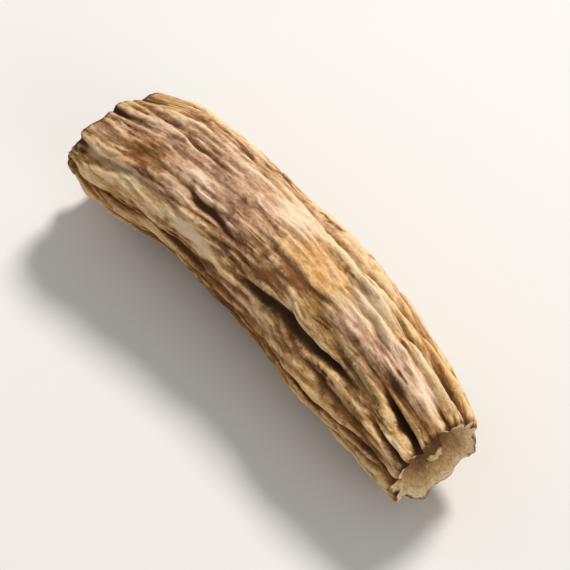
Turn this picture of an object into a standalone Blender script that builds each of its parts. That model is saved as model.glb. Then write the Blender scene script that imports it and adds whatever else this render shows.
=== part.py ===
# One dried, cut piece of dandelion root, lying on its side.
# It runs along X, from its wide cut end, the butt, at -X to its narrow cut end, the tip, at +X, and it rests
# on a few low crests at z = 0. A place "along" it is 0 at the butt and 1 at the tip. An angle "around" it is
# 0 at the top and 90 degrees on the -Y side.

import math

import bmesh
import bpy
import numpy as np

# Driving dimensions, in metres
LENGTH = 0.01545
RADIUS = 0.00212
BOW = 0.00080
RIB_RELIEF = 0.00019
WRINKLE_RELIEF = 0.00006
FLAT_DEPTH = 0.00020

# How finely the surface is divided: points in a ring, rings of bark, and the rings of each cut end as shares
# of its outline
POINTS_AROUND = 104
RINGS_ALONG = 46
CUT_RINGS = (0.90, 0.74, 0.56, 0.38, 0.20)

# Broad form: heights as shares of the radius, places and lengths along the root, angles in degrees
LOBE_SHARE = 0.028
BUTT_SWELL = 0.05
BUTT_SWELL_PLACE = 0.16
BUTT_SWELL_LENGTH = 0.14
BUTT_TAPER = 0.17
BUTT_TAPER_END = 0.14
TIP_TAPER = 0.34
TIP_TAPER_START = 0.72
TIP_TAPER_END = 1.06
TIP_TAPER_ANGLE = -35.0
TIP_TAPER_BELOW = 0.45
FLATTENING = 0.05

# Noises over the surface: the fewest and the most waves round the root, their slant over its length in
# radians, and the seed of their random draw
WAVES_IN_NOISE = 36
LOBES = (2, 4, 1.2, 43)
TURNING = (1, 3, 6.0, 44)
RIBS = (5, 9, 4.5, 51)
WRINKLES = (11, 17, 10.0, 48)
STRENGTH = (1, 3, 6.0, 42)
DEEPER = (2, 6, 26.0, 54)
TIP_EDGE = (3, 9, 0.0, 45)
BUTT_EDGE = (3, 9, 0.0, 46)
TIP_GRAIN = (1, 4, 1.5, 52)
BUTT_GRAIN = (1, 4, 1.5, 53)

# Ribs: how far they wander sideways, in radians, how round their valleys are, and how strongly they stand on
# the butt's half, how much more so on the tip's half, and by how much that varies
RIB_WANDER = 0.07
VALLEY_ROUNDING = 0.25
CREST_LIMIT = 2.0
MEAN_CREST = 0.8
STRENGTH_AT_BUTT = 0.70
STRENGTH_GAIN = 0.35
STRENGTH_RISE = (0.35, 0.70)
STRENGTH_VARIES = 0.22
STRENGTH_LIMITS = (0.2, 1.3)

# Long furrows: where each starts and ends along the root, its angle in degrees at both, its half-width in
# degrees, and its depth as a share of the radius. One that starts below 0 or ends above 1 runs out at a cut.
# Each tapers off over a share of its length at both ends, down to a share of its width, deepens and shallows by
# a noise within limits, and wanders sideways by some degrees.
FURROWS = (
    (0.36, 0.88, 59, 43, 5.5, 0.250),
    (0.72, 1.20, 18, 44, 5.0, 0.200),
    (0.82, 1.20, 52, 72, 4.5, 0.150),
    (0.56, 0.86, -13, 1, 4.5, 0.120),
    (0.86, 1.20, -20, -8, 4.5, 0.100),
    (-0.20, 0.16, 4, 8, 4.0, 0.130),
    (0.00, 0.22, -19, -13, 4.0, 0.080),
    (0.12, 0.34, -12, -6, 4.5, 0.110),
    (0.16, 0.46, 28, 34, 4.5, 0.080),
    (-0.20, 0.08, 38, 42, 4.0, 0.100),
    (0.05, 0.36, 68, 70, 6.0, 0.120),
    (-0.20, 0.10, -30, -36, 4.5, 0.110),
    (-0.20, 0.30, -50, -58, 5.5, 0.150),
    (-0.20, 0.20, 84, 92, 7.0, 0.120),
    (0.74, 1.20, 78, 94, 5.0, 0.120),
    (0.28, 1.20, 124, 132, 8.0, 0.150),
    (0.20, 0.90, -66, -78, 8.0, 0.130),
    (-0.20, 0.55, -104, -96, 9.0, 0.160),
    (0.45, 1.20, -112, -124, 8.0, 0.160),
    (-0.20, 0.60, 150, 142, 8.0, 0.100),
    (0.05, 0.80, -142, -150, 8.0, 0.130),
)
FURROW_FADE = 0.50
FURROW_ENDS = 0.35
FURROW_VARIES = 0.40
FURROW_LIMITS = (0.3, 1.5)
FURROW_WANDER = 1.5
FURROW_BENDS = 9.0

# Shallow dimples and swellings: place along, angle in degrees, half-length along, half-width in degrees, and
# height as a share of the radius, which is negative for a dimple
SWELLINGS = (
    (0.13, 28, 0.060, 24, -0.070),
    (0.33, -16, 0.130, 30, 0.040),
    (0.27, 106, 0.090, 30, -0.155),
    (0.88, -1, 0.070, 11, 0.080),
    (0.67, 7, 0.060, 6, 0.035),
    (0.95, 50, 0.050, 6, 0.060),
    (0.87, 15, 0.035, 5, -0.040),
    (0.52, -2, 0.070, 18, 0.030),
    (0.70, 88, 0.200, 26, 0.080),
    (0.22, 58, 0.140, 16, 0.035),
    (0.13, 106, 0.110, 30, -0.115),
    (0.20, 172, 0.120, 34, 0.080),
    (0.84, 170, 0.090, 34, 0.070),
)

# Places where the ribs are lower: place along, angle in degrees, half-length along, half-width in degrees, and
# the share of the ribs' height that is missing in the middle of it
CALM = (
    (0.30, 0, 0.300, 55, 0.75),
    (0.62, 10, 0.100, 30, 0.35),
)

# Scars of rootlets: place along, angle in degrees and radius in metres. Each is a low collar round a pit,
# whose widths are shares of that radius.
ROOTLET_SCARS = (
    (0.62, -84, 0.00036),
    (0.27, 140, 0.00036),
    (0.74, 148, 0.00030),
)
COLLAR_HEIGHT = 0.00008
COLLAR_WIDTH = 0.45
PIT_DEPTH = 0.00016
PIT_WIDTH = 0.6

# Cut ends: the slope of each cut across and up, the raggedness of its edge, how much lower the ribs are close
# to it, the depth of the sunken cortex and where it starts and is full, as shares of the way out to the edge,
# and the share of that depth which the woody core stands up again
TIP_SLOPE = (0.06, 0.03)
BUTT_SLOPE = (0.05, 0.10)
RAGGED = 0.00008
CUT_PRESSED = 0.40
CUT_PRESSED_LENGTH = 0.08
TIP_SUNK = 0.00060
BUTT_SUNK = 0.00030
SUNK_FROM = 0.94
SUNK_FULL = 0.56
GRAIN_SHARE = 0.22
CORE_STANDS = 0.80
CORE_FOOT = 0.40
CORE_TOP = 0.17

BARK_COLOUR = (0.36, 0.23, 0.13, 1.0)
BARK_ROUGHNESS = 0.85
SHARP_EDGE = math.radians(60.0)


def smooth_step(low, high, value):
    share = np.clip((value - low) / (high - low), 0.0, 1.0)
    return share * share * (3.0 - 2.0 * share)


def hump(distance):
    # A bell curve, 1 in the middle and near 0 past a distance of 2.
    return np.exp(-(distance**2))


def waves(around, along, noise):
    # Soft noise of unit spread that closes round the root: a sum of cosines, each with whole waves round it.
    fewest, most, slant, seed = noise
    draw = np.random.default_rng(seed)
    total = np.zeros(np.broadcast(around, along).shape)
    for _ in range(WAVES_IN_NOISE):
        turns = draw.integers(fewest, most + 1)
        total += np.cos(turns * around + draw.normal(0.0, slant) * along + draw.uniform(0.0, math.tau))
    return total / math.sqrt(WAVES_IN_NOISE / 2.0)


def degrees_from(around, angle):
    # Signed difference from an angle, in degrees, the short way round.
    return np.degrees(np.angle(np.exp(1j * (around - np.radians(angle)))))


def furrow_depth(around, along):
    total = np.zeros(np.broadcast(around, along).shape)
    for start, end, first, last, half_width, depth in FURROWS:
        share = np.clip((along - start) / (end - start), 0.0, 1.0)
        middle = first + (last - first) * share + FURROW_WANDER * np.sin(FURROW_BENDS * along + first)
        fade = smooth_step(0.0, FURROW_FADE, share) * smooth_step(0.0, FURROW_FADE, 1.0 - share)
        width = half_width * (FURROW_ENDS + (1.0 - FURROW_ENDS) * fade)
        total += depth * fade * hump(degrees_from(around, middle) / width)
    return total * np.clip(1.0 + FURROW_VARIES * waves(around, along, DEEPER), *FURROW_LIMITS)


def patch_sum(around, along, patches):
    # The sum of bell-shaped patches.
    total = np.zeros(np.broadcast(around, along).shape)
    for centre, angle, half_length, half_width, height in patches:
        across = hump(degrees_from(around, angle) / half_width)
        total += height * across * hump((along - centre) / half_length)
    return total


def scar_height(around, along):
    total = np.zeros(np.broadcast(around, along).shape)
    for centre, angle, radius in ROOTLET_SCARS:
        sideways = np.radians(degrees_from(around, angle)) * RADIUS
        away = np.hypot((along - centre) * LENGTH, sideways) / radius
        total += COLLAR_HEIGHT * hump((away - 1.0) / COLLAR_WIDTH) - PIT_DEPTH * hump(away / PIT_WIDTH)
    return total


def creased(field):
    # Round crests with narrow valleys between them, which follow the lines where a noise crosses zero.
    return np.hypot(np.minimum(np.abs(field), CREST_LIMIT), VALLEY_ROUNDING) - MEAN_CREST


def rib_height(around, along):
    # Ribs that wander, fork and run out along the root, with finer wrinkles on them.
    turned = around + RIB_WANDER * waves(around, along, TURNING)
    relief = RIB_RELIEF * creased(waves(turned, along, RIBS))
    relief = relief + WRINKLE_RELIEF * creased(waves(turned, along, WRINKLES))
    strength = STRENGTH_AT_BUTT + STRENGTH_GAIN * smooth_step(*STRENGTH_RISE, along)
    strength = strength + STRENGTH_VARIES * waves(around, along, STRENGTH)
    strength = strength * (1.0 - patch_sum(around, along, CALM))
    return np.clip(strength, *STRENGTH_LIMITS) * relief


def broad_radius(around, along):
    # The root without its bark's relief: a few low lobes, a swollen butt and a tip that narrows most on top.
    lobes = LOBE_SHARE * waves(around, along, LOBES)
    swell = BUTT_SWELL * hump((along - BUTT_SWELL_PLACE) / BUTT_SWELL_LENGTH)
    butt = BUTT_TAPER * smooth_step(BUTT_TAPER_END, 0.0, along) ** 2
    upper = 0.5 + 0.5 * np.cos(around - math.radians(TIP_TAPER_ANGLE))
    tip = TIP_TAPER * smooth_step(TIP_TAPER_START, TIP_TAPER_END, along)
    return 1.0 + lobes + swell - butt - tip * (TIP_TAPER_BELOW + (1.0 - TIP_TAPER_BELOW) * upper)


def bark_radius(around, along):
    from_middle = np.abs(along - 0.5)
    pressed = 1.0 - CUT_PRESSED * smooth_step(0.5 - CUT_PRESSED_LENGTH, 0.5, from_middle)
    furrows = pressed * furrow_depth(around, along)
    shares = broad_radius(around, along) + patch_sum(around, along, SWELLINGS) - furrows
    return RADIUS * shares + pressed * rib_height(around, along) + scar_height(around, along)


def cut_shift(side, across, up, around):
    # How far the cut lies beyond a square end: it slopes, and its edge is ragged. Side is 1 at the tip and -1
    # at the butt.
    slope = TIP_SLOPE if side > 0 else BUTT_SLOPE
    edge = TIP_EDGE if side > 0 else BUTT_EDGE
    ragged = RAGGED * waves(around, 0.0, edge) * np.hypot(across, up) / RADIUS
    return slope[0] * across + slope[1] * up + ragged


def placed(along, across, up, shift):
    # Points from their place along the bowed middle line and their offsets from it.
    x = (along - 0.5) * LENGTH + shift
    y = across + BOW * (1.0 - (2.0 * along - 1.0) ** 2)
    z = up * (1.0 - FLATTENING)
    return np.stack(np.broadcast_arrays(x, y, z), axis=-1)


def bark_points(around, along):
    radius = bark_radius(around, along)
    across = -radius * np.sin(around)
    up = radius * np.cos(around)
    tip = cut_shift(1, across, up, around) * along**4
    butt = cut_shift(-1, across, up, around) * (1.0 - along) ** 4
    return placed(along, across, up, tip + butt)


def cut_points(side, around, share):
    # A ring of a cut end: the cortex dries hollow, and the woody core stands up in the middle of it.
    along = 1.0 if side > 0 else 0.0
    edge = bark_radius(around, along)
    radius = share * (edge * share**2 + edge.mean() * (1.0 - share**2))
    across = -radius * np.sin(around)
    up = radius * np.cos(around)
    core = CORE_STANDS * smooth_step(CORE_FOOT, CORE_TOP, share)
    grain = waves(around, share, TIP_GRAIN if side > 0 else BUTT_GRAIN)
    depth = (TIP_SUNK if side > 0 else BUTT_SUNK) * (1.0 + GRAIN_SHARE * grain)
    sunk = depth * smooth_step(SUNK_FROM, SUNK_FULL, share) * (1.0 - core)
    return placed(along, across, up, cut_shift(side, across, up, around) - side * sunk)


def surface_rings():
    # Every ring of points, from the middle of the butt's cut to the middle of the tip's.
    around = np.linspace(0.0, math.tau, POINTS_AROUND, endpoint=False)
    rings = [cut_points(-1, around, share) for share in sorted(CUT_RINGS)]
    rings += [bark_points(around, along) for along in np.linspace(0.0, 1.0, RINGS_ALONG)]
    rings += [cut_points(1, around, share) for share in CUT_RINGS]
    return np.array(rings)


def laid_down(points):
    # Moves the root so that its box is centred over the origin and its lowest crests are flat at z = 0.
    low = points.min(axis=0)
    middle = (low + points.max(axis=0)) / 2.0
    settled = points - np.array([middle[0], middle[1], low[2] + FLAT_DEPTH])
    settled[:, 2] = np.maximum(settled[:, 2], 0.0)
    return settled


def root_mesh():
    rings = surface_rings()
    poles = np.array([rings[0].mean(axis=0), rings[-1].mean(axis=0)])
    points = laid_down(np.concatenate([rings.reshape(-1, 3), poles]))
    bm = bmesh.new()
    verts = [bm.verts.new(point) for point in points]
    butt_pole, tip_pole = verts[-2:]
    loops = [verts[i * POINTS_AROUND : (i + 1) * POINTS_AROUND] for i in range(len(rings))]
    neighbours = [(i, (i + 1) % POINTS_AROUND) for i in range(POINTS_AROUND)]
    for near, far in zip(loops, loops[1:]):
        for i, j in neighbours:
            bm.faces.new((near[i], far[i], far[j], near[j]))
    for i, j in neighbours:
        bm.faces.new((butt_pole, loops[0][i], loops[0][j]))
        bm.faces.new((tip_pole, loops[-1][j], loops[-1][i]))
    bmesh.ops.recalc_face_normals(bm, faces=bm.faces)
    mesh = bpy.data.meshes.new("dandelion_root")
    bm.to_mesh(mesh)
    bm.free()
    mesh.shade_smooth()
    mesh.set_sharp_from_angle(angle=SHARP_EDGE)
    return mesh


def bark_material():
    material = bpy.data.materials.new("dried_bark")
    material.use_nodes = True
    shader = material.node_tree.nodes["Principled BSDF"]
    shader.inputs["Base Color"].default_value = BARK_COLOUR
    shader.inputs["Roughness"].default_value = BARK_ROUGHNESS
    shader.inputs["Metallic"].default_value = 0.0
    return material


def main():
    for obj in list(bpy.data.objects):
        bpy.data.objects.remove(obj)
    mesh = root_mesh()
    mesh.materials.append(bark_material())
    root = bpy.data.objects.new("dandelion_root", mesh)
    bpy.context.scene.collection.objects.link(root)


main()
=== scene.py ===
import math

import bpy
import numpy as np
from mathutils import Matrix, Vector


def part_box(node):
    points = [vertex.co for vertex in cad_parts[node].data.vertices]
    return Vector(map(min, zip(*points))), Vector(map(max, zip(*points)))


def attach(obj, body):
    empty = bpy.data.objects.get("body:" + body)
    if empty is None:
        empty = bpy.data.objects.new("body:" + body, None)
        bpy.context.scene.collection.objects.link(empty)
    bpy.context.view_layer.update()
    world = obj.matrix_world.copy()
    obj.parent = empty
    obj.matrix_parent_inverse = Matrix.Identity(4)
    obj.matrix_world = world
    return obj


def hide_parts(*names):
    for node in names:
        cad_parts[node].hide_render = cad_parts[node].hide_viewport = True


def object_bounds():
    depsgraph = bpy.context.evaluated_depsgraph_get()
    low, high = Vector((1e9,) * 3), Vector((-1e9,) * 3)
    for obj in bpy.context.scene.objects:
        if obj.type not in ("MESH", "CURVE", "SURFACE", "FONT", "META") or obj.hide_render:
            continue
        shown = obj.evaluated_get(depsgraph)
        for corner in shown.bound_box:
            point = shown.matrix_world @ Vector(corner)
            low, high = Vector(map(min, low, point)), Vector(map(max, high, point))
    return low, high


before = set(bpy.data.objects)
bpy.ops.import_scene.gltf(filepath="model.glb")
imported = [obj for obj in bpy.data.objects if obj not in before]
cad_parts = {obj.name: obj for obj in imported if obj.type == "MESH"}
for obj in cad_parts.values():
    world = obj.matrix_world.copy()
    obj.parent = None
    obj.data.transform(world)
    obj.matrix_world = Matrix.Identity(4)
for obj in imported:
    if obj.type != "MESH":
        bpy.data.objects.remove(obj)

# One dried piece of dandelion root, cut across at its wide end, the butt, and its narrow end, the tip.
# Through this file "along" is 0 at the butt and 1 at the tip, and "around" is an angle in radians that is
# 0 at the top of the root and a quarter turn on its -Y side.
cadLow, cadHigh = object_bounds()
print("frame loaded, nodes:", ", ".join(sorted(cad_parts)))


# The root. Lengths are metres, angles in the lists are degrees, heights in them are shares of the radius.
# A noise is (fewest waves round the root, most waves, slant over its length in radians, seed).
# A lattice is (cells round the root, cells along it, seed).
root = {
    "node": "dandelion_root",
    "pointsAround": 340,
    "ringsAlong": 236,
    "cutRings": 22,
    "length": 0.01545,
    "radius": 0.00212,
    "bow": 0.00080,
    "flattening": 0.05,
    "flatDepth": 0.00020,
    # broad form
    "lobeShare": 0.028,
    "lobes": (2, 4, 1.2, 43),
    "buttSwell": (0.05, 0.16, 0.14),        # height, place, half-length
    "buttTaper": (0.17, 0.14),              # depth, and how far from the cut it reaches
    "tipTaper": (0.34, 0.72, 1.06),         # depth, where it starts and where it would be full
    "tipTaperAngle": -35.0,
    "tipTaperBelow": 0.45,
    "swellings": (                          # place, angle, half-length, half-width, height
        (0.13, 28, 0.060, 24, -0.070),
        (0.33, -16, 0.130, 30, 0.040),
        (0.27, 106, 0.090, 30, -0.155),
        (0.88, -1, 0.070, 11, 0.080),
        (0.67, 7, 0.060, 6, 0.035),
        (0.95, 50, 0.050, 6, 0.060),
        (0.87, 15, 0.035, 5, -0.040),
        (0.52, -2, 0.070, 18, 0.030),
        (0.70, 88, 0.200, 26, 0.080),
        (0.22, 58, 0.140, 16, 0.035),
        (0.13, 106, 0.110, 30, -0.115),
        (0.20, 172, 0.120, 34, 0.080),
        (0.84, 170, 0.090, 34, 0.070),
    ),
    # ribs and furrows
    "ribRelief": 0.00019,
    "wrinkleRelief": 0.00006,
    "ribs": (5, 9, 4.5, 51),
    "wrinkles": (11, 17, 10.0, 48),
    "ribWander": 0.07,
    "turning": (1, 3, 6.0, 44),
    "valleyRounding": 0.25,
    "crestLimit": 2.0,
    "meanCrest": 0.8,
    "strength": (1, 3, 6.0, 42),
    "strengthAtButt": 0.70,
    "strengthGain": 0.35,
    "strengthRise": (0.35, 0.70),
    "strengthVaries": 0.22,
    "strengthLimits": (0.2, 1.3),
    "furrowFade": 0.50,
    "furrowEnds": 0.35,                     # width of a furrow at its ends, as a share of its full width
    "furrowVaries": (0.40, (0.3, 1.5), (2, 6, 26.0, 54)),   # how much the depth varies, its limits, its noise
    "furrowWander": 1.5,
    "furrowBends": 9.0,
    "calm": ((0.30, 0, 0.30, 55, 0.75), (0.62, 10, 0.10, 30, 0.35)),   # where the ribs are lower
    "furrows": (                            # start, end, angle at each, half-width, depth
        (0.36, 0.88, 59, 43, 5.5, 0.250),
        (0.72, 1.20, 18, 44, 5.0, 0.200),
        (0.82, 1.20, 52, 72, 4.5, 0.150),
        (0.56, 0.86, -13, 1, 4.5, 0.120),
        (0.86, 1.20, -20, -8, 4.5, 0.100),
        (-0.20, 0.16, 4, 8, 4.0, 0.130),
        (0.00, 0.22, -19, -13, 4.0, 0.080),
        (0.12, 0.34, -12, -6, 4.5, 0.110),
        (0.16, 0.46, 28, 34, 4.5, 0.080),
        (-0.20, 0.08, 38, 42, 4.0, 0.100),
        (0.05, 0.36, 68, 70, 6.0, 0.120),
        (-0.20, 0.10, -30, -36, 4.5, 0.110),
        (-0.20, 0.30, -50, -58, 5.5, 0.150),
        (-0.20, 0.20, 84, 92, 7.0, 0.120),
        (0.74, 1.20, 78, 94, 5.0, 0.120),
        (0.28, 1.20, 124, 132, 8.0, 0.150),
        (0.20, 0.90, -66, -78, 8.0, 0.130),
        (-0.20, 0.55, -104, -96, 9.0, 0.160),
        (0.45, 1.20, -112, -124, 8.0, 0.160),
        (-0.20, 0.60, 150, 142, 8.0, 0.100),
        (0.05, 0.80, -142, -150, 8.0, 0.130),
    ),
    "scars": ((0.62, -84, 0.00036), (0.27, 140, 0.00036), (0.74, 148, 0.00030)),   # place, angle, radius
    "scarCollar": (0.00008, 0.45),          # height, and width as a share of the scar's radius
    "scarPit": (0.00016, 0.6),              # depth, and width as a share of the scar's radius
    # the two cuts
    "tipCut": {
        "end": 1.0, "side": 1, "slope": (0.06, 0.03), "sunk": 0.00060, "edge": (3, 9, 0.0, 45),
        "grain": (1, 4, 1.5, 52), "wedges": (17, 3, 75), "rays": (56, 9, 71), "crumbs": (96, 36, 72),
    },
    "buttCut": {
        "end": 0.0, "side": -1, "slope": (0.05, 0.10), "sunk": 0.00030, "edge": (3, 9, 0.0, 46),
        "grain": (1, 4, 1.5, 53), "wedges": (17, 3, 76), "rays": (56, 9, 73), "crumbs": (96, 36, 74),
    },
    "ragged": 0.00008,
    "pressed": (0.40, 0.08),                # how much lower the ribs are at a cut, and how far that reaches
    "rounding": (0.00010, 0.014),           # how far the bark curls in at a cut, and how far that reaches
    "sunkFrom": (0.94, 0.56),               # where the cortex starts to sink, and where it is lowest
    "grainShare": 0.22,
    "coreStands": 0.80,
    "coreFoot": 0.40,
    "coreTop": 0.17,
    "notchFrom": 0.00020,
    "notchDepth": 0.00009,
    "notchReach": (0.35, 0.95),             # where a notch's groove has run out, and where it is full
    "wedgeRelief": 0.000050,
    "rayRelief": 0.000036,
    "crumbRelief": 0.000044,
    "crumbSpan": (0.0, 1.2),                # noise at which a crumb starts to rise, and at which it is full
    "roughFrom": (1.0, 0.93),               # where the roughness starts inside the edge, and where it is full
    "roughTo": (0.10, 0.45),                # where it has run out at the core, and where it is full
    # fine relief that only this surface has
    "folds": (((54, 12, 61), 0.000040), ((120, 24, 62), 0.000028)),     # creases and fibres: lattice, height
    "meanFold": 0.6,
    "spots": (                              # lattice, height, noise at which they start and are full
        ((50, 40, 63), 0.000018, (0.15, 0.45)),         # flakes
        ((96, 80, 64), -0.000026, (0.9, 1.6)),          # pits
    ),
    "cracks": ((14, 60, 65), -0.000040, (0.9, 1.4)),
    "crackPatches": ((7, 9, 68), (-0.1, 0.8)),
    "slide": (0.014, (13, 12, 66)),         # how far the fine relief is shifted lengthwise, and the lattice
    "sway": (0.045, (7, 14, 67)),           # the same round the root, in radians
    "wiggle": (0.022, (16, 30, 69)),        # how far ribs and furrows are shifted round the root, in radians
    # what the materials read
    "broadBlur": (11.0, 7.0),               # spread in points round the root and in rings along it
    "narrowBlur": (3.5, 2.5),
    "hollowSpan": 0.00034,                  # height from not hollow to fully hollow
    "creviceSpan": 0.000050,                # depth of a full crevice, and height of a full crest
    "paleFills": 0.5,                       # how much of the hollow mask pale skin takes away
    "sharpAngle": 70.0,
}


def smoothStep(low, high, value):
    # 0 up to low, 1 from high on, and 3t^2 - 2t^3 between them.
    t = np.clip((value - low) / (high - low), 0.0, 1.0)
    return t * t * (3.0 - 2.0 * t)


def hump(distance):
    # The bell curve exp(-d^2).
    return np.exp(-(distance**2))


def closedWaves(around, along, noise, count=36):
    # A sum of cosines of n * around + k * along + phase. n is a whole number, so it closes round the root.
    fewest, most, slant, seed = noise
    draw = np.random.default_rng(seed)
    total = np.zeros(np.broadcast(around, along).shape)
    for _ in range(count):
        turns = draw.integers(fewest, most + 1)
        total += np.cos(turns * around + draw.normal(0.0, slant) * along + draw.uniform(0.0, math.tau))
    return total / math.sqrt(count / 2.0)


def latticeNoise(around, along, lattice):
    # Random heights on a lattice that closes round the root, blended by 3t^2 - 2t^3 between its points.
    cellsAround, cellsAlong, seed = lattice
    heights = np.random.default_rng(seed).normal(size=(cellsAlong + 3, cellsAround))
    held = np.clip(along, -0.01, 1.01)      # the lattice has a spare row beyond each end
    across, down = np.broadcast_arrays(around / math.tau * cellsAround, held * cellsAlong + 1.0)
    column, row = np.floor(across).astype(int), np.floor(down).astype(int)
    s, t = smoothStep(0.0, 1.0, across - column), smoothStep(0.0, 1.0, down - row)
    column, following = column % cellsAround, (column + 1) % cellsAround
    near = heights[row, column] * (1.0 - s) + heights[row, following] * s
    far = heights[row + 1, column] * (1.0 - s) + heights[row + 1, following] * s
    return near * (1.0 - t) + far * t


def degreesFrom(around, angle):
    # Signed difference from an angle, the short way round, in degrees.
    return np.degrees(np.angle(np.exp(1j * (around - np.radians(angle)))))


def furrowDepth(around, along):
    # A bell-shaped groove for each furrow, whose middle runs from one angle to the other and sways by a sine.
    # It grows shallow and narrow towards both ends.
    total = np.zeros(np.broadcast(around, along).shape)
    for start, end, first, last, halfWidth, depth in root["furrows"]:
        share = np.clip((along - start) / (end - start), 0.0, 1.0)
        bend = root["furrowWander"] * np.sin(root["furrowBends"] * along + first)
        middle = first + (last - first) * share + bend
        fade = smoothStep(0.0, root["furrowFade"], share) * smoothStep(0.0, root["furrowFade"], 1.0 - share)
        width = halfWidth * (root["furrowEnds"] + (1.0 - root["furrowEnds"]) * fade)
        total += depth * fade * hump(degreesFrom(around, middle) / width)
    varies, limits, noise = root["furrowVaries"]
    return total * np.clip(1.0 + varies * closedWaves(around, along, noise), *limits)


def patchSum(around, along, patches):
    # A bell-shaped patch for each entry: place, angle, half-length, half-width, height.
    total = np.zeros(np.broadcast(around, along).shape)
    for place, angle, halfLength, halfWidth, height in patches:
        total += height * hump((along - place) / halfLength) * hump(degreesFrom(around, angle) / halfWidth)
    return total


def scarHeight(around, along):
    # A low ring of bark round a pit where each rootlet broke off.
    total = np.zeros(np.broadcast(around, along).shape)
    collar, collarWidth = root["scarCollar"]
    pit, pitWidth = root["scarPit"]
    for place, angle, radius in root["scars"]:
        sideways = np.radians(degreesFrom(around, angle)) * root["radius"]
        away = np.hypot((along - place) * root["length"], sideways) / radius
        total += collar * hump((away - 1.0) / collarWidth) - pit * hump(away / pitWidth)
    return total


def creased(field):
    # sqrt(f^2 + r^2): round crests, with narrow valleys where the noise crosses zero.
    return np.hypot(np.minimum(np.abs(field), root["crestLimit"]), root["valleyRounding"]) - root["meanCrest"]


def ribHeight(around, along):
    # Creased waves that wander, fork and run out, with finer ones on them, stronger towards the tip.
    turned = around + root["ribWander"] * closedWaves(around, along, root["turning"])
    relief = root["ribRelief"] * creased(closedWaves(turned, along, root["ribs"]))
    relief = relief + root["wrinkleRelief"] * creased(closedWaves(turned, along, root["wrinkles"]))
    strength = root["strengthAtButt"] + root["strengthGain"] * smoothStep(*root["strengthRise"], along)
    strength = strength + root["strengthVaries"] * closedWaves(around, along, root["strength"])
    strength = strength * (1.0 - patchSum(around, along, root["calm"]))
    return np.clip(strength, *root["strengthLimits"]) * relief


def broadRadius(around, along):
    # Low lobes, a swollen butt that closes in at its cut, and a tip that narrows most on top.
    swell, swellPlace, swellLength = root["buttSwell"]
    buttDepth, buttReach = root["buttTaper"]
    tipDepth, tipStart, tipEnd = root["tipTaper"]
    below = root["tipTaperBelow"]
    upper = 0.5 + 0.5 * np.cos(around - math.radians(root["tipTaperAngle"]))
    lobes = root["lobeShare"] * closedWaves(around, along, root["lobes"])
    closing = buttDepth * smoothStep(buttReach, 0.0, along) ** 2
    butt = swell * hump((along - swellPlace) / swellLength) - closing
    tip = tipDepth * smoothStep(tipStart, tipEnd, along) * (below + (1.0 - below) * upper)
    return 1.0 + lobes + butt - tip


def mainRadius(around, along):
    # The radius with everything that the solid has: broad form, swellings, furrows, ribs and scars.
    pressed, reach = root["pressed"]
    press = 1.0 - pressed * smoothStep(0.5 - reach, 0.5, np.abs(along - 0.5))
    shares = broadRadius(around, along) + patchSum(around, along, root["swellings"])
    shares = shares - press * furrowDepth(around, along)
    return root["radius"] * shares + press * ribHeight(around, along) + scarHeight(around, along)


def fineHeight(around, along):
    # Folds |noise| that run lengthwise, flakes of loose skin, small pits, and cracks across in places. All
    # are lattice noises on coordinates that two broader noises shift.
    slide, slideLattice = root["slide"]
    sway, swayLattice = root["sway"]
    place = along + slide * latticeNoise(around, along, slideLattice)
    turned = around + sway * latticeNoise(around, along, swayLattice)
    height = np.zeros(place.shape)
    for lattice, relief in root["folds"]:
        height += relief * (np.abs(latticeNoise(turned, place, lattice)) - root["meanFold"])
    for lattice, relief, span in root["spots"]:
        height += relief * smoothStep(*span, latticeNoise(turned, place, lattice))
    patches, patchSpan = root["crackPatches"]
    cracked = smoothStep(*patchSpan, latticeNoise(around, along, patches))
    lattice, relief, span = root["cracks"]
    return height + relief * cracked * smoothStep(*span, latticeNoise(turned, place, lattice))


def softened(field, spreadAround, spreadAlong):
    # A Gaussian blur by Fourier transform. It wraps round the root and mirrors at the cuts.
    mirrored = np.concatenate([field, field[::-1]])
    rows = np.fft.fftfreq(mirrored.shape[0])[:, None] * math.tau * spreadAlong
    columns = np.fft.fftfreq(mirrored.shape[1])[None, :] * math.tau * spreadAround
    blurred = np.fft.ifft2(np.fft.fft2(mirrored) * np.exp(-0.5 * (rows**2 + columns**2)))
    return blurred.real[: field.shape[0]]


def cutShift(cut, across, up, around):
    # How far a cut lies beyond a square end: a slope, and a raggedness that grows towards the edge.
    ragged = root["ragged"] * closedWaves(around, 0.0, cut["edge"]) * np.hypot(across, up) / root["radius"]
    return cut["slope"][0] * across + cut["slope"][1] * up + ragged


def placed(along, across, up, shift):
    # Points offset from the middle line, which is a parabola in the X-Y plane.
    x = (along - 0.5) * root["length"] + shift
    y = across + root["bow"] * (1.0 - (2.0 * along - 1.0) ** 2)
    z = up * (1.0 - root["flattening"])
    return np.stack(np.broadcast_arrays(x, y, z), axis=-1)


def barkPoints(around, along, radius):
    # (x, -r sin, r cos) about the middle line, leaning into each cut's slope near its end.
    across, up = -radius * np.sin(around), radius * np.cos(around)
    tip = cutShift(root["tipCut"], across, up, around) * along**4
    butt = cutShift(root["buttCut"], across, up, around) * (1.0 - along) ** 4
    return placed(along, across, up, tip + butt)


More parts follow.
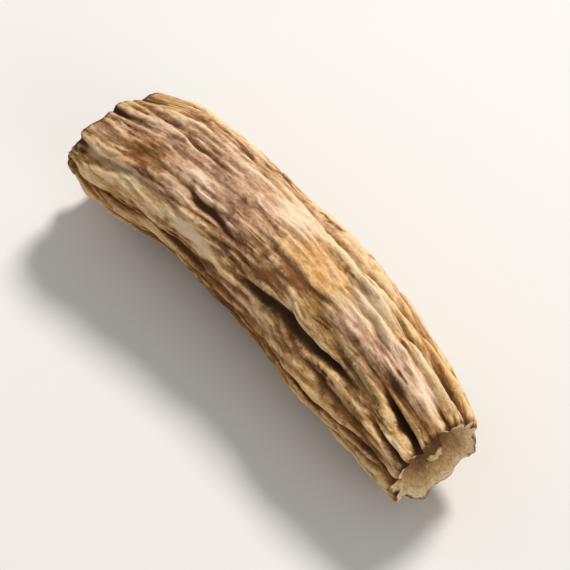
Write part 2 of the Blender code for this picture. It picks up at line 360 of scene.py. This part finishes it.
def cutPoints(cut, around, share, edge):
    # Rings that shrink from the edge to the middle: the cortex dries hollow, the woody core stands up in it,
    # a groove runs in from each notch of the edge, and wedges, rays and crumbs roughen the rest.
    radius = share * (edge * share**2 + edge.mean() * (1.0 - share**2))
    across, up = -radius * np.sin(around), radius * np.cos(around)
    core = root["coreStands"] * smoothStep(root["coreFoot"], root["coreTop"], share)
    depth = cut["sunk"] * (1.0 + root["grainShare"] * closedWaves(around, share, cut["grain"]))
    sunk = depth * smoothStep(*root["sunkFrom"], share) * (1.0 - core)
    inside = smoothStep(*root["roughFrom"], share) * smoothStep(*root["roughTo"], share)
    notch = np.clip((edge.mean() - edge) / root["notchFrom"], 0.0, 1.0)
    notch = notch * smoothStep(*root["notchReach"], share)
    crumbs = smoothStep(*root["crumbSpan"], latticeNoise(around, share, cut["crumbs"]))
    rough = root["notchDepth"] * notch + root["rayRelief"] * latticeNoise(around, share, cut["rays"])
    rough = rough + root["wedgeRelief"] * latticeNoise(around, share, cut["wedges"])
    rough = rough + root["crumbRelief"] * crumbs
    shift = cutShift(cut, across, up, around) - cut["side"] * (sunk + inside * rough)
    return placed(cut["end"], across, up, shift)


def fittedTo(points, low, high):
    # Lowers the lowest crests to a flat at z = 0, as the solid has, and fits the rest to the solid's box.
    settled = points - np.array([0.0, 0.0, points[:, 2].min() + root["flatDepth"]])
    settled[:, 2] = np.maximum(settled[:, 2], 0.0)
    ownLow, ownHigh = settled.min(axis=0), settled.max(axis=0)
    return low + (settled - ownLow) * (high - low) / (ownHigh - ownLow)


# Colour patches on the bark, as place, angle, half-length, half-width and strength.
barkPatches = {
    "worn": (
        (0.56, -4, 0.055, 15, 1.1),
        (0.50, 6, 0.030, 7, 0.8),
        (0.61, -10, 0.035, 8, 0.7),
        (0.61, 9, 0.030, 8, 0.9),
        (0.24, 88, 0.060, 16, 0.6),
        (0.66, -150, 0.080, 24, 0.9),
        (0.30, -120, 0.060, 18, 0.7),
        (0.85, 130, 0.050, 14, 0.6),
    ),
    "rust": (
        (0.56, 22, 0.038, 6, 1.4),
        (0.54, 32, 0.034, 7, 1.3),
        (0.18, 28, 0.030, 8, 0.9),
        (0.45, 23, 0.025, 4, 1.0),
        (0.50, 40, 0.030, 5, 0.9),
        (0.66, 62, 0.050, 8, 0.6),
        (0.40, -170, 0.060, 14, 0.9),
        (0.72, -108, 0.040, 10, 0.8),
    ),
    # partly earthier skin and partly painted shade, chiefly on the lower flank under the deep fold: the tone
    # drops and a yellow tint goes in
    "earthAndShade": (
        (0.50, 96, 0.220, 26, 1.0),
        (0.13, 28, 0.065, 18, 1.1),
        (0.15, 96, 0.120, 26, 0.7),
        (0.76, 68, 0.150, 20, 0.5),
        (0.88, -42, 0.100, 18, 0.5),
        (0.88, 70, 0.060, 10, 0.5),
        (0.87, 15, 0.035, 5, 0.6),
        (0.45, 180, 0.300, 40, 0.6),
        (0.60, -66, 0.120, 12, 0.5),
    ),
    # painted shade beside the deep fold, where it lies in shadow, and darker skin in the other patches
    "shadeAndDarkSkin": (
        (0.78, 31, 0.090, 14, 1.3),
        (0.09, 5, 0.045, 13, 0.8),
        (0.74, 16, 0.040, 8, 0.5),
        (0.25, -8, 0.040, 10, 0.6),
        (0.31, 2, 0.040, 8, 0.5),
        (0.87, 5, 0.035, 6, 0.5),
        (0.59, 70, 0.050, 10, 0.6),
        (0.35, -110, 0.070, 14, 0.9),
        (0.60, 165, 0.080, 12, 0.9),
        (0.20, -165, 0.050, 12, 0.8),
    ),
    "rosy": (
        (0.24, 6, 0.220, 50, 1.0),
        (0.88, 0, 0.100, 16, 1.0),
        (0.72, 14, 0.080, 12, 0.8),
        (0.60, 72, 0.120, 10, 0.6),
        (0.55, -100, 0.200, 40, 0.9),
        (0.15, 160, 0.160, 50, 0.8),
    ),
    "pale": (
        (0.46, -24, 0.055, 18, 1.1),
        (0.33, -28, 0.080, 15, 0.7),
        (0.26, 14, 0.030, 8, 0.5),
        (0.14, 49, 0.050, 8, 1.2),
        (0.05, 50, 0.030, 8, 0.8),
        (0.64, 50, 0.025, 6, 0.6),
        (0.72, -10, 0.055, 13, 1.2),
        (0.86, -28, 0.040, 9, 1.0),
        (0.33, 55, 0.070, 6, 1.1),
        (0.69, 6, 0.060, 4, 0.7),
        (0.83, -4, 0.045, 6, 0.7),
        (0.92, -10, 0.045, 9, 1.2),
        (0.95, 51, 0.035, 4, 0.9),
        (0.66, -32, 0.120, 18, 0.7),
        (0.10, -14, 0.050, 8, 0.6),
        (0.48, -80, 0.100, 16, 0.6),
        (0.78, 160, 0.080, 18, 0.7),
        (0.22, -150, 0.090, 20, 0.7),
    ),
}


def barkMasks(around, along, radius):
    # What lies below a broad blur of the bark or beside a narrow one, and the colour patches, all 0 to 1.
    broad, narrow = softened(radius, *root["broadBlur"]), softened(radius, *root["narrowBlur"])
    masks = {name: np.clip(patchSum(around, along, spots), 0.0, 1.0) for name, spots in barkPatches.items()}
    hollow = np.clip(0.5 + (broad - radius) / root["hollowSpan"], 0.0, 1.0)
    masks["hollow"] = hollow * (1.0 - root["paleFills"] * masks["pale"])
    masks["crevice"] = np.clip((narrow - radius) / root["creviceSpan"], 0.0, 1.0)
    masks["crest"] = np.clip((radius - narrow) / root["creviceSpan"], 0.0, 1.0)
    return masks


def rootSurface():
    # Rings from the middle of the butt's cut, over the bark, to the middle of the tip's cut. The bark is the
    # main radius, wiggled, plus the fine relief, less a curl that grows by a square towards each cut.
    around = np.linspace(0.0, math.tau, root["pointsAround"], endpoint=False)[None, :]
    along = np.linspace(0.0, 1.0, root["ringsAlong"])[:, None]
    shares = np.linspace(1.0, 0.0, root["cutRings"] + 2)[1:-1, None]
    wiggle, wiggleLattice = root["wiggle"]
    curl, curlReach = root["rounding"]
    shifted = around + wiggle * latticeNoise(around, along, wiggleLattice)
    nearCut = np.clip((np.abs(along - 0.5) - 0.5 + curlReach) / curlReach, 0.0, 1.0)
    radius = mainRadius(shifted, along) + fineHeight(around, along) - curl * nearCut**2
    rings = np.concatenate([
        cutPoints(root["buttCut"], around, shares[::-1], radius[:1]),
        barkPoints(around, along, radius),
        cutPoints(root["tipCut"], around, shares, radius[-1:]),
    ])

    # what the materials read, worked out on the same rings
    values = {name: withCuts(mask) for name, mask in barkMasks(around, along, radius).items()}
    values["share"] = np.concatenate([shares[::-1], np.ones_like(along), shares]) * np.ones_like(around)
    lengthwise = np.concatenate([np.zeros_like(shares), along, np.ones_like(shares)]) * root["length"]
    offset = values["share"] * root["radius"]
    place = np.broadcast_arrays(lengthwise, offset * np.cos(around), offset * np.sin(around))
    values["barkPlace"] = np.stack(place, axis=-1)
    return rings, values


def withCuts(mask):
    # A mask of the bark, carried on unchanged over the rings of both cuts.
    rings = root["cutRings"]
    return np.concatenate([np.repeat(mask[:1], rings, axis=0), mask, np.repeat(mask[-1:], rings, axis=0)])


def withPoles(rings):
    # Ring values as one list, with the mean of the first and of the last ring added for the two poles.
    flat = rings.reshape(rings.shape[0] * rings.shape[1], -1)
    return np.concatenate([flat, rings[:1].reshape(rings.shape[1], -1).mean(axis=0, keepdims=True),
                           rings[-1:].reshape(rings.shape[1], -1).mean(axis=0, keepdims=True)])


def ringFaces(ringCount, pointCount):
    # Quads between neighbouring rings and a fan of triangles round each pole, all facing out.
    first = np.arange(pointCount)
    second = (first + 1) % pointCount
    starts = np.arange(ringCount - 1)[:, None] * pointCount
    nextStarts = starts + pointCount
    quads = np.stack([starts + first, starts + second, nextStarts + second, nextStarts + first], axis=-1)
    buttPole, tipPole = ringCount * pointCount, ringCount * pointCount + 1
    last = (ringCount - 1) * pointCount
    buttFan = np.stack([np.full(pointCount, buttPole), second, first], axis=-1)
    tipFan = np.stack([last + first, last + second, np.full(pointCount, tipPole)], axis=-1)
    return quads.reshape(-1, 4), buttFan, tipFan


def buildRoot(materials):
    rings, values = rootSurface()
    ringCount, pointCount = rings.shape[:2]
    low, high = (np.array(corner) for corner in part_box(root["node"]))
    points = fittedTo(withPoles(rings), low, high)
    quads, buttFan, tipFan = ringFaces(ringCount, pointCount)
    mesh = bpy.data.meshes.new("rootBark")
    mesh.from_pydata(points.tolist(), [], quads.tolist() + buttFan.tolist() + tipFan.tolist())
    for material in materials:
        mesh.materials.append(material)
    ring = np.repeat(np.arange(ringCount - 1), pointCount)
    onCut = (ring < root["cutRings"]) | (ring >= ringCount - 1 - root["cutRings"])
    slots = np.concatenate([onCut.astype(np.int32), np.ones(2 * pointCount, dtype=np.int32)])
    mesh.polygons.foreach_set("material_index", slots)
    for name, value in values.items():
        kind, field = ("FLOAT_VECTOR", "vector") if value.ndim == 3 else ("FLOAT", "value")
        layer = mesh.attributes.new(name, kind, "POINT")
        layer.data.foreach_set(field, withPoles(value).astype(np.float32).ravel())
    mesh.shade_smooth()
    mesh.set_sharp_from_angle(angle=math.radians(root["sharpAngle"]))
    mesh.validate()
    piece = bpy.data.objects.new("rootPiece", mesh)
    bpy.context.scene.collection.objects.link(piece)
    return piece


def addNode(tree, kind, inputs, **settings):
    # A node with its settings, and its inputs given as numbers, colours or other nodes' outputs.
    node = tree.nodes.new(kind)
    for name, value in settings.items():
        setattr(node, name, value)
    for name, value in inputs.items():
        if isinstance(value, bpy.types.NodeSocket):
            tree.links.new(value, node.inputs[name])
        else:
            node.inputs[name].default_value = value
    return node


def maths(tree, operation, *values):
    return addNode(tree, "ShaderNodeMath", dict(enumerate(values)), operation=operation).outputs[0]


def ranged(tree, value, low, high, toLow=0.0, toHigh=1.0):
    # value from low to high becomes toLow to toHigh, held at both ends.
    inputs = {"Value": value, "From Min": low, "From Max": high, "To Min": toLow, "To Max": toHigh}
    return addNode(tree, "ShaderNodeMapRange", inputs, clamp=True).outputs["Result"]


def mixed(tree, factor, first, second, blend="MIX"):
    # first where the factor is 0 and second where it is 1, or first times second there with "MULTIPLY".
    inputs = {0: factor, 6: first, 7: second}
    return addNode(tree, "ShaderNodeMix", inputs, data_type="RGBA", blend_type=blend).outputs[2]


def multiplied(tree, vector, factors):
    return addNode(tree, "ShaderNodeVectorMath", {0: vector, 1: factors}, operation="MULTIPLY").outputs[0]


def attribute(tree, name, output="Fac"):
    return addNode(tree, "ShaderNodeAttribute", {}, attribute_name=name).outputs[output]


def noiseField(tree, place, scale, detail, roughness):
    inputs = {"Vector": place, "Scale": scale, "Detail": detail, "Roughness": roughness}
    return addNode(tree, "ShaderNodeTexNoise", inputs).outputs["Fac"]


def weightedSum(tree, fields, weights, total=0.0):
    # The total plus each named field times its weight.
    for name, weight in weights.items():
        total = maths(tree, "MULTIPLY_ADD", fields[name], weight, total)
    return total


def addLayers(tree, fields, layers):
    # Each layer is a weighted sum of fields, whose low and high become atLow and atHigh. It joins the fields.
    for name, (weights, low, high, atLow, atHigh) in layers.items():
        fields[name] = ranged(tree, weightedSum(tree, fields, weights), low, high, atLow, atHigh)


def newGroup(name, inputs, output):
    # A node group with named inputs, each with its default or None for a vector, and one named output.
    group = bpy.data.node_groups.new(name, "ShaderNodeTree")
    for label, default in inputs.items():
        kind = "NodeSocketVector" if default is None else "NodeSocketFloat"
        socket = group.interface.new_socket(name=label, in_out="INPUT", socket_type=kind)
        if default is not None:
            socket.default_value = default
    group.interface.new_socket(name=output, in_out="OUTPUT", socket_type="NodeSocketFloat")
    return group, group.nodes.new("NodeGroupInput").outputs, group.nodes.new("NodeGroupOutput").inputs


def placeGroup(tree, group, inputs):
    return addNode(tree, "ShaderNodeGroup", inputs, node_tree=group).outputs[0]


# What both groups have in every material.
effects = {
    "streakRoughness": 0.6,
    "streakSpan": (0.30, 0.70),             # most of the noise lies between these
    "speckDetail": 2.5,
    "speckRoughness": 0.55,
    "speckLimits": (0.72, 0.30),            # what the noise has to pass for no cover, and for full cover
}


def streakGroup():
    # Noise drawn out lengthwise, spread so that most of it lies between 0 and 1.
    defaults = {"Place": None, "Scale": 1000.0, "Stretch": 5.0, "Detail": 3.0}
    group, given, result = newGroup("lengthwiseStreaks", defaults, "Streaks")
    squeeze = maths(group, "DIVIDE", 1.0, given["Stretch"])
    squash = addNode(group, "ShaderNodeCombineXYZ", {"X": squeeze, "Y": 1.0, "Z": 1.0}).outputs[0]
    drawn = multiplied(group, given["Place"], squash)
    noise = noiseField(group, drawn, given["Scale"], given["Detail"], effects["streakRoughness"])
    group.links.new(ranged(group, noise, *effects["streakSpan"]), result["Streaks"])
    return group


def speckGroup():
    # Small irregular specks where a fine noise passes a limit. Cover is about the share of the surface they
    # take.
    defaults = {"Place": None, "Scale": 5000.0, "Cover": 0.2, "Softness": 0.04}
    group, given, result = newGroup("drySpecks", defaults, "Specks")
    detail, roughness = effects["speckDetail"], effects["speckRoughness"]
    noise = noiseField(group, given["Place"], given["Scale"], detail, roughness)
    limit = ranged(group, given["Cover"], 0.0, 1.0, *effects["speckLimits"])
    soft = maths(group, "ADD", limit, given["Softness"])
    group.links.new(ranged(group, noise, limit, soft), result["Specks"])
    return group


def streakFields(tree, streaks, place, settings):
    # One field of streaks for each name, from its waves per metre, stretch and detail.
    fields = {}
    for name, (scale, stretch, detail) in settings.items():
        inputs = {"Place": place, "Scale": scale, "Stretch": stretch, "Detail": detail}
        fields[name] = placeGroup(tree, streaks, inputs)
    return fields


def speckField(tree, specks, place, scale, cover, softness):
    return placeGroup(tree, specks, {"Place": place, "Scale": scale, "Cover": cover, "Softness": softness})


def newMaterial(name):
    # A material, its node tree and its Principled shader.
    material = bpy.data.materials.new(name)
    material.use_nodes = True
    return material, material.node_tree, material.node_tree.nodes["Principled BSDF"]


def toneRamp(tree, tone, stops):
    # A colour ramp from its stops, each a place and a colour.
    node = addNode(tree, "ShaderNodeValToRGB", {"Fac": tone})
    elements = node.color_ramp.elements
    (elements[0].position, first), (elements[1].position, last) = stops[0], stops[-1]
    elements[0].color, elements[1].color = (*first, 1.0), (*last, 1.0)
    for position, colour in stops[1:-1]:
        elements.new(position).color = (*colour, 1.0)
    return node.outputs["Color"]


def linkShader(tree, shader, colour, fields, finish):
    # The colour, a roughness ranged from one field, and a bump whose height is a weighted sum of fields.
    roughField, *roughSpan = finish["roughness"]
    height = weightedSum(tree, fields, finish["bumps"])
    inputs = {"Height": height, "Strength": finish["bumpStrength"], "Distance": finish["bumpDistance"]}
    bump = addNode(tree, "ShaderNodeBump", inputs)
    tree.links.new(colour, shader.inputs["Base Color"])
    tree.links.new(ranged(tree, fields[roughField], *roughSpan), shader.inputs["Roughness"])
    tree.links.new(bump.outputs["Normal"], shader.inputs["Normal"])
    shader.inputs["Specular IOR Level"].default_value = finish["specular"]


print("shape functions and node helpers ready")


# The bark. Colours are linear, scales are waves per metre. Each list of tones runs from furrow to crest, as a
# place on the scale of tones and a colour. A layer is (weights of fields, low, high, value at each).
barkFinish = {
    "ochreTones": (
        (0.20, (0.085, 0.033, 0.008)),
        (0.42, (0.258, 0.120, 0.028)),
        (0.62, (0.540, 0.310, 0.112)),
        (0.84, (0.800, 0.565, 0.290)),
    ),
    "rosyTones": (
        (0.20, (0.118, 0.053, 0.028)),
        (0.42, (0.296, 0.152, 0.086)),
        (0.62, (0.570, 0.348, 0.212)),
        (0.84, (0.820, 0.590, 0.415)),
    ),
    "pale": (0.840, 0.675, 0.490, 1.0),
    # painted shade colour: a yellow tint multiplied into the furrows and into the earthier, partly shaded
    # patches
    "earthAndShadeTint": (1.000, 0.820, 0.450, 1.0),
    "shadeAndDarkSkinTint": (0.400, 0.320, 0.220, 1.0),
    "worn": (0.880, 0.550, 0.250, 1.0),
    "wornDark": (0.600, 0.300, 0.095, 1.0),
    "rust": (0.230, 0.088, 0.026, 1.0),
    # painted shade in the deepest furrows and crevices
    "furrowShade": (0.060, 0.026, 0.009, 1.0),
    # pale flecks on the crests, partly painted glints
    "scurfAndGlint": (0.840, 0.700, 0.530, 1.0),
    "streaks": {                            # scale, stretch, detail
        "broad": (1000.0, 5.0, 3.0),
        "fine": (4000.0, 6.0, 4.0),
        "grain": (14000.0, 2.0, 2.0),
        "mottle": (600.0, 2.2, 5.0),
        "dashes": (2300.0, 3.5, 2.0),
    },
    "flecks": (6500.0, 0.42, 0.05),         # scale, cover, softness
    "layers": {
        "gaps": ({"dashes": 1.0}, 0.26, 0.04, 0.0, 0.30),
        "rosyShare": ({"mottle": 0.6, "rosy": 1.0}, 0.30, 1.00, 0.0, 1.0),
        # painted shade colour in the furrows, read from the hollow mask
        "hollowShadeTint": ({"hollow": 1.0}, 0.5, 0.9, 0.0, 0.8),
        "tintShare": ({"hollowShadeTint": 1.0, "earthAndShade": 0.9}, 0.0, 1.0, 0.0, 1.0),
        "paleShare": ({"fine": 0.7, "pale": 1.0}, 0.70, 1.75, 0.0, 0.90),
        "bareTone": ({"grain": 0.6, "fine": 0.8}, 0.35, 1.0, 0.0, 1.0),
        "wornShare": ({"dashes": 0.45, "fine": 0.25, "worn": 1.0}, 0.72, 1.02, 0.0, 0.88),
        "rustShare": ({"dashes": -0.5, "grain": -0.3, "rust": 1.0}, -0.10, 0.45, 0.0, 0.85),
        "shadeAndDarkSkinShare": ({"fine": -0.5, "shadeAndDarkSkin": 1.0}, -0.05, 0.75, 0.0, 0.9),
        "crestGlintShare": ({"crest": 1.0, "crevice": -1.0}, 0.15, 0.8, 0.0, 0.36),
        "deepFurrowShade": ({"hollow": 1.0}, 0.66, 1.0, 0.0, 1.0),
        "furrowShadeShare": ({"deepFurrowShade": 1.0, "crevice": 0.50, "fine": -0.25}, 0.0, 1.0, 0.0, 0.88),
    },
    "tone": 0.22,
    "toneWeights": {
        # the crest weight is painted highlight on the crests, the hollow weight painted shade in the furrows
        "broad": 0.24, "fine": 0.40, "grain": 0.16, "mottle": 0.20, "crest": 0.24, "hollow": -0.40,
        "gaps": -1.0, "pale": 0.16, "earthAndShade": -0.20,
    },
    "roughness": ("tone", 0.2, 0.9, 0.92, 0.70),        # its field, low, high, value at each
    "specular": 0.35,
    "bumps": {"fine": 0.6, "grain": 0.25, "flecks": 0.15},
    "bumpStrength": 0.6,
    "bumpDistance": 0.00006,
}


def barkMaterial(streaks, specks):
    material, tree, shader = newMaterial("driedBark")
    place = attribute(tree, "barkPlace", "Vector")
    fields = {name: attribute(tree, name) for name in ("hollow", "crevice", "crest", *barkPatches)}
    fields.update(streakFields(tree, streaks, place, barkFinish["streaks"]))
    fields["flecks"] = speckField(tree, specks, place, *barkFinish["flecks"])
    addLayers(tree, fields, barkFinish["layers"])

    # skin whose tone the streaks vary, the crests lift as painted highlight and the furrows lower as painted
    # shade
    fields["tone"] = weightedSum(tree, fields, barkFinish["toneWeights"], barkFinish["tone"])
    ochre, rosy = (toneRamp(tree, fields["tone"], barkFinish[name]) for name in ("ochreTones", "rosyTones"))
    colour = mixed(tree, fields["rosyShare"], ochre, rosy)
    # painted shade: yellower in the furrows and on the shaded lower flank, with earthier skin in places
    colour = mixed(tree, fields["tintShare"], colour, barkFinish["earthAndShadeTint"], "MULTIPLY")

    # bleached skin, skin worn away to warm cortex, rusty stains beside it, and darker patches: painted shade,
    # mostly beside the deep fold near the tip, and darker skin elsewhere
    colour = mixed(tree, fields["paleShare"], colour, barkFinish["pale"])
    bare = mixed(tree, fields["bareTone"], barkFinish["wornDark"], barkFinish["worn"])
    colour = mixed(tree, fields["wornShare"], colour, bare)
    colour = mixed(tree, fields["rustShare"], colour, barkFinish["rust"])
    colour = mixed(tree, fields["shadeAndDarkSkinShare"], colour, barkFinish["shadeAndDarkSkinTint"], "MULTIPLY")

    # pale scurf along the crests, partly painted glint, and painted shade, a near-black brown, in the deepest
    # furrows and crevices
    # pale flakes of skin, kept to the crests as painted glints
    scurfAndGlint = maths(tree, "MULTIPLY", fields["flecks"], fields["crestGlintShare"])
    colour = mixed(tree, scurfAndGlint, colour, barkFinish["scurfAndGlint"])
    colour = mixed(tree, fields["furrowShadeShare"], colour, barkFinish["furrowShade"])
    linkShader(tree, shader, colour, fields, barkFinish)
    return material


# The cut faces, in the same terms. Places are shares of the way from the middle (0) to the bark (1).
cutFinish = {
    "tissues": (
        (0.12, (0.880, 0.670, 0.300)),      # woody core
        # the ring round the core and the inner cortex are darkened past their own colour, as painted shade of
        # the cut's sunken hollow
        (0.19, (0.160, 0.070, 0.022)),      # shrunken ring round it
        (0.57, (0.330, 0.172, 0.060)),      # inner cortex
        (0.79, (0.780, 0.530, 0.255)),      # outer cortex
        (0.93, (0.940, 0.740, 0.470)),      # rim
    ),
    "skin": (0.230, 0.110, 0.048, 1.0),
    "lines": (0.340, 0.175, 0.065, 1.0),
    "crumbColour": (0.840, 0.700, 0.530, 1.0),
    "streaks": {"grain": (9000.0, 1.0, 4.0), "cloud": (1700.0, 1.0, 3.0)},
    "bearingStreaks": {"rays": (7.0, 1.0, 4.0)},        # read on a circle of radius 1 round the middle
    "crumbs": (7000.0, 0.30, 0.06),
    "layers": {
        "inward": ({"share": 1.0}, 1.0, 0.7, 0.0, 1.0),
        "speckle": ({"grain": 1.0}, 0.50, 0.0, 0.0, 0.45),
        "lineGrain": ({"grain": 1.0}, 0.9, 0.2, 0.3, 1.0),
        "lineReach": ({"share": 1.0}, 0.25, 0.45, 0.0, 0.42),
        "rayShare": ({"rays": 1.0}, 0.50, 0.85, 0.0, 0.45),
        "rayGrain": ({"grain": 1.0}, 1.0, 0.3, 0.0, 1.0),
        "crumbReach": ({"share": 1.0}, 0.45, 0.75, 0.0, 0.35),
        "skinShare": ({"grain": 0.03, "cloud": 0.05, "share": 1.0}, 1.000, 1.035, 0.0, 0.85),
    },
    "waver": {"cloud": 0.10, "grain": 0.06},
    "lineCount": 9.0,
    "lineSpan": (0.1, 1.0),                 # where on its sine a line starts, and where it is full
    "roughness": ("grain", 0.0, 1.0, 0.82, 0.95),
    "specular": 0.30,
    "bumps": {"grain": 0.6, "rays": 0.3, "crumbs": 0.2},
    "bumpStrength": 0.6,
    "bumpDistance": 0.00009,
}


def cutMaterial(streaks, specks):
    material, tree, shader = newMaterial("cutCortex")
    place = attribute(tree, "barkPlace", "Vector")
    flat = multiplied(tree, place, (0.0, 1.0, 1.0))
    bearing = addNode(tree, "ShaderNodeVectorMath", {0: flat}, operation="NORMALIZE").outputs[0]
    fields = {"share": attribute(tree, "share")}
    fields.update(streakFields(tree, streaks, place, cutFinish["streaks"]))
    fields.update(streakFields(tree, streaks, bearing, cutFinish["bearingStreaks"]))
    fields["crumbs"] = speckField(tree, specks, place, *cutFinish["crumbs"])
    addLayers(tree, fields, cutFinish["layers"])

    # rings of tissue, whose borders waver by how far the noises are from one half
    waver = weightedSum(tree, fields, cutFinish["waver"], -0.5 * sum(cutFinish["waver"].values()))
    wavered = maths(tree, "MULTIPLY_ADD", waver, fields["inward"], fields["share"])
    colour = toneRamp(tree, wavered, cutFinish["tissues"])
    colour = mixed(tree, fields["speckle"], colour, cutFinish["lines"])

    # fine dark growth lines, rays through the cortex, pale crumbs, and the skin round the edge
    sine = maths(tree, "SINE", maths(tree, "MULTIPLY", wavered, cutFinish["lineCount"] * math.tau))
    lines = maths(tree, "MULTIPLY", ranged(tree, sine, *cutFinish["lineSpan"]), fields["lineGrain"])
    colour = mixed(tree, maths(tree, "MULTIPLY", lines, fields["lineReach"]), colour, cutFinish["lines"])
    rays = maths(tree, "MULTIPLY", fields["rayShare"], fields["rayGrain"])
    colour = mixed(tree, rays, colour, cutFinish["lines"])
    crumbs = maths(tree, "MULTIPLY", fields["crumbs"], fields["crumbReach"])
    colour = mixed(tree, crumbs, colour, cutFinish["crumbColour"])
    colour = mixed(tree, fields["skinShare"], colour, cutFinish["skin"])
    linkShader(tree, shader, colour, fields, cutFinish)
    return material


streaks, specks = streakGroup(), speckGroup()
rootPiece = buildRoot([barkMaterial(streaks, specks), cutMaterial(streaks, specks)])
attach(rootPiece, "root")
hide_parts(root["node"])
print("root built, triangles:", sum(len(face.vertices) - 2 for face in rootPiece.data.polygons))


# The setting: a pale floor, soft light from above and behind, and the photograph's angle of view.
setting = {
    "floorSize": 0.8,
    "floorColour": (0.80, 0.79, 0.77, 1.0),
    "floorRoughness": 0.9,
    "skyColour": (1.0, 0.985, 0.96, 1.0),
    "skyStrength": 0.34,
    "lights": (                             # place, size, power in watts, colour
        ((-0.045, 0.150, 0.165), 0.060, 0.49, (1.0, 0.965, 0.91)),
        ((0.200, -0.020, 0.110), 0.140, 0.10, (1.0, 0.98, 0.95)),
        ((-0.200, -0.060, 0.120), 0.160, 0.05, (0.95, 0.97, 1.0)),
    ),
    "elevation": 55.0,
    "lens": 400.0,
    "sensor": 36.0,
    "frameWidth": 0.0172,
    "clipFactor": 50.0,
}


def buildFloor():
    half = setting["floorSize"] / 2.0
    corners = [(-half, -half, 0.0), (half, -half, 0.0), (half, half, 0.0), (-half, half, 0.0)]
    mesh = bpy.data.meshes.new("floor")
    mesh.from_pydata(corners, [], [(0, 1, 2, 3)])
    material, _, shader = newMaterial("paleFloor")
    shader.inputs["Base Color"].default_value = setting["floorColour"]
    shader.inputs["Roughness"].default_value = setting["floorRoughness"]
    mesh.materials.append(material)
    floor = bpy.data.objects.new("floor", mesh)
    bpy.context.scene.collection.objects.link(floor)


def buildLights(target):
    for number, (place, size, power, colour) in enumerate(setting["lights"]):
        light = bpy.data.lights.new(f"softLight{number}", "AREA")
        light.shape = "DISK"
        light.size, light.energy, light.color = size, power, colour
        lamp = bpy.data.objects.new(light.name, light)
        lamp.location = place
        lamp.rotation_euler = (target - Vector(place)).to_track_quat("-Z", "Y").to_euler()
        bpy.context.scene.collection.objects.link(lamp)
    world = bpy.data.worlds.new("paleSky")
    world.use_nodes = True
    background = world.node_tree.nodes["Background"]
    background.inputs["Color"].default_value = setting["skyColour"]
    background.inputs["Strength"].default_value = setting["skyStrength"]
    bpy.context.scene.world = world


def buildCamera(target):
    # At this azimuth the root's length runs down to the right at 45 degrees in the picture, as photographed.
    elevation = math.radians(setting["elevation"])
    azimuth = math.atan(1.0 / math.sin(elevation))
    level = math.cos(elevation)
    back = Vector((math.sin(azimuth) * level, -math.cos(azimuth) * level, math.sin(elevation)))
    camera = bpy.data.cameras.new("camera")
    camera.lens, camera.sensor_width = setting["lens"], setting["sensor"]
    distance = setting["frameWidth"] * setting["lens"] / setting["sensor"]
    camera.clip_start, camera.clip_end = distance / setting["clipFactor"], distance * setting["clipFactor"]
    eye = bpy.data.objects.new("camera", camera)
    eye.location = target + back * distance
    eye.rotation_euler = (-back).to_track_quat("-Z", "Y").to_euler()
    bpy.context.scene.collection.objects.link(eye)
    bpy.context.scene.camera = eye


middle = (cadLow + cadHigh) / 2.0
buildFloor()
buildLights(middle)
buildCamera(middle)
bpy.context.scene.view_settings.view_transform = "Standard"
print("floor, lights and camera ready")

print("CAD box in mm:", [round(1000.0 * value, 3) for value in (*cadLow, *cadHigh)])
